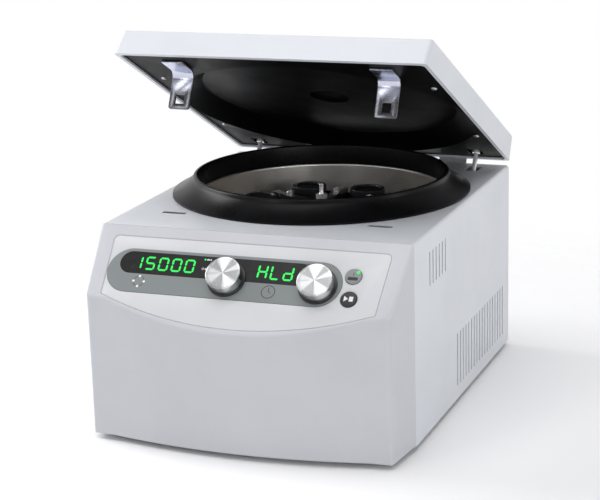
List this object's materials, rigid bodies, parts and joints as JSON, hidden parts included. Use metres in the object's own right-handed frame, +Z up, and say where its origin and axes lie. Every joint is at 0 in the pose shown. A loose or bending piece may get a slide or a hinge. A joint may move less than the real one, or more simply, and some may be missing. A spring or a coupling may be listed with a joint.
{
  "type": "centrifuge",
  "caption": "Bench laboratory centrifuge with a hinged lid on gas springs, a swing-out rotor with capped buckets in a steel bowl, and a sloping control panel.",
  "frame": {"origin": "middle of the bounding box's base, on the plane the feet stand on, with the lid open", "axes": "+X to the right seen from the control panel, +Y to the rear, +Z up; the panel faces -Y"},
  "size_m": [0.37, 0.5128, 0.4449],
  "materials": {
    "pale_paint": "satin",
    "pale_moulding": "satin",
    "light_insert": "satin",
    "grey_strip": "satin",
    "dark_window": "gloss",
    "black_rubber": "satin",
    "black_plastic": "satin",
    "bright_steel": "brushed",
    "zinc_plate": "zinc plated",
    "turned_aluminium": "turned",
    "dark_alloy": "dark anodised",
    "motor_paint": "satin",
    "board_green": "satin",
    "button_grey": "satin",
    "smoked_window": "gloss"
  },
  "bodies": {
    "body": {"housing": "pale_paint", "rear_panel": "pale_paint", "base_pan": "zinc_plate", "front_cover": "pale_moulding", "control_panel": "light_insert", "display_strip": "grey_strip", "display_window": "dark_window", "chamber_ring": "black_rubber", "chamber_bowl": "bright_steel", "guard_ring": "zinc_plate", "motor": "motor_paint", "motor_damper": "black_rubber", "latch_case_left": "black_plastic", "latch_case_right": "black_plastic", "power_inlet": "black_plastic", "foot_front_left": "black_rubber", "foot_front_right": "black_rubber", "foot_rear_left": "black_rubber", "foot_rear_right": "black_rubber", "control_board": "board_green", "drive_board": "board_green", "hinge_bracket_left": "zinc_plate", "hinge_bracket_right": "zinc_plate", "spring_mount_left": "zinc_plate", "spring_mount_right": "zinc_plate"},
    "lid": {"lid_shell": "pale_paint", "lid_liner": "black_plastic", "view_window": "smoked_window", "latch_strap_left": "bright_steel", "latch_strap_right": "bright_steel", "hinge_leaf_left": "zinc_plate", "hinge_leaf_right": "zinc_plate", "lid_stud_left": "zinc_plate", "lid_stud_right": "zinc_plate"},
    "spring_cylinder_left": {"spring_cylinder_left": "black_plastic"},
    "spring_cylinder_right": {"spring_cylinder_right": "black_plastic"},
    "spring_rod_left": {"spring_rod_left": "bright_steel"},
    "spring_rod_right": {"spring_rod_right": "bright_steel"},
    "rotor": {"motor_shaft": "bright_steel", "rotor_head": "dark_alloy", "rotor_nut": "bright_steel"},
    "speed_knob": {"speed_knob": "turned_aluminium"},
    "time_knob": {"time_knob": "turned_aluminium"},
    "lid_button": {"lid_button": "button_grey"},
    "start_button": {"start_button": "black_plastic"},
    "latch_bolt_left": {"latch_bolt_left": "bright_steel"},
    "latch_bolt_right": {"latch_bolt_right": "bright_steel"},
    "switch_rocker": {"switch_rocker": "black_plastic"},
    "bucket_1": {"bucket_1": "dark_alloy", "bucket_cap_1": "dark_alloy"},
    "bucket_2": {"bucket_2": "dark_alloy", "bucket_cap_2": "dark_alloy"},
    "bucket_3": {"bucket_3": "dark_alloy", "bucket_cap_3": "dark_alloy"},
    "bucket_4": {"bucket_4": "dark_alloy", "bucket_cap_4": "dark_alloy"},
    "bucket_5": {"bucket_5": "dark_alloy", "bucket_cap_5": "dark_alloy"},
    "bucket_6": {"bucket_6": "dark_alloy", "bucket_cap_6": "dark_alloy"}
  },
  "joints": [
    {"name": "lid_hinge", "type": "hinge", "parent": "body", "child": "lid", "pos_m": [0, 0.24334, 0.227], "axis": [1, 0, 0], "range_deg": [0, 26.75], "stiffness_Nm_per_rad": 4, "springref_deg": -171.89},
    {"name": "rotor_spin", "type": "hinge", "parent": "body", "child": "rotor", "pos_m": [0, 0.05184, 0.172], "axis": [0, 0, 1], "continuous": true},
    {"name": "spring_tilt_left", "type": "hinge", "parent": "body", "child": "spring_cylinder_left", "pos_m": [-0.1464, 0.15634, 0.133], "axis": [1, 0, 0], "range_deg": [0, 4.4]},
    {"name": "spring_slide_left", "type": "slide", "parent": "spring_cylinder_left", "child": "spring_rod_left", "axis": [0, 0.4754, 0.8798], "range_m": [-0.0169, 0]},
    {"name": "spring_tilt_right", "type": "hinge", "parent": "body", "child": "spring_cylinder_right", "pos_m": [0.1464, 0.15634, 0.133], "axis": [1, 0, 0], "range_deg": [0, 4.4]},
    {"name": "spring_slide_right", "type": "slide", "parent": "spring_cylinder_right", "child": "spring_rod_right", "axis": [0, 0.4754, 0.8798], "range_m": [-0.0169, 0]},
    {"name": "bucket_swing_1", "type": "hinge", "parent": "rotor", "child": "bucket_1", "pos_m": [0.07597, 0.05396, 0.2105], "axis": [0.0279, -0.9996, 0], "range_deg": [0, 90]},
    {"name": "bucket_swing_2", "type": "hinge", "parent": "rotor", "child": "bucket_2", "pos_m": [0.03615, 0.11869, 0.2105], "axis": [0.8796, -0.4756, 0], "range_deg": [0, 90]},
    {"name": "bucket_swing_3", "type": "hinge", "parent": "rotor", "child": "bucket_3", "pos_m": [-0.03982, 0.11657, 0.2105], "axis": [0.8517, 0.524, 0], "range_deg": [0, 90]},
    {"name": "bucket_swing_4", "type": "hinge", "parent": "rotor", "child": "bucket_4", "pos_m": [-0.07597, 0.04972, 0.2105], "axis": [-0.0279, 0.9996, 0], "range_deg": [0, 90]},
    {"name": "bucket_swing_5", "type": "hinge", "parent": "rotor", "child": "bucket_5", "pos_m": [-0.03615, -0.01502, 0.2105], "axis": [-0.8796, 0.4756, 0], "range_deg": [0, 90]},
    {"name": "bucket_swing_6", "type": "hinge", "parent": "rotor", "child": "bucket_6", "pos_m": [0.03982, -0.01289, 0.2105], "axis": [-0.8517, -0.524, 0], "range_deg": [0, 90]},
    {"name": "speed_knob_turn", "type": "hinge", "parent": "body", "child": "speed_knob", "pos_m": [-0.0165, -0.21116, 0.19552], "axis": [0, -0.7193, 0.6947], "continuous": true},
    {"name": "time_knob_turn", "type": "hinge", "parent": "body", "child": "time_knob", "pos_m": [0.0895, -0.21116, 0.19552], "axis": [0, -0.7193, 0.6947], "continuous": true},
    {"name": "lid_button_press", "type": "slide", "parent": "body", "child": "lid_button", "axis": [0, 0.7193, -0.6947], "range_m": [0, 0.0008], "stiffness_N_per_m": 400, "springref_m": -0.002},
    {"name": "start_button_press", "type": "slide", "parent": "body", "child": "start_button", "axis": [0, 0.7193, -0.6947], "range_m": [0, 0.0008], "stiffness_N_per_m": 400, "springref_m": -0.002},
    {"name": "latch_bolt_slide_left", "type": "slide", "parent": "body", "child": "latch_bolt_left", "axis": [0, 1, 0], "range_m": [0, 0.022]},
    {"name": "latch_bolt_slide_right", "type": "slide", "parent": "body", "child": "latch_bolt_right", "axis": [0, 1, 0], "range_m": [0, 0.022]},
    {"name": "switch_rock", "type": "hinge", "parent": "body", "child": "switch_rocker", "pos_m": [-0.12, 0.23514, 0.075], "axis": [0, 0, 1], "range_deg": [0, 14]}
  ],
  "couplings": [
    {"joint": "spring_tilt_left", "follows": "lid_hinge", "ratio": 0.1604},
    {"joint": "spring_slide_left", "follows": "lid_hinge", "m_per_rad": -0.0359},
    {"joint": "spring_tilt_right", "follows": "lid_hinge", "ratio": 0.1604},
    {"joint": "spring_slide_right", "follows": "lid_hinge", "m_per_rad": -0.0359}
  ]
}
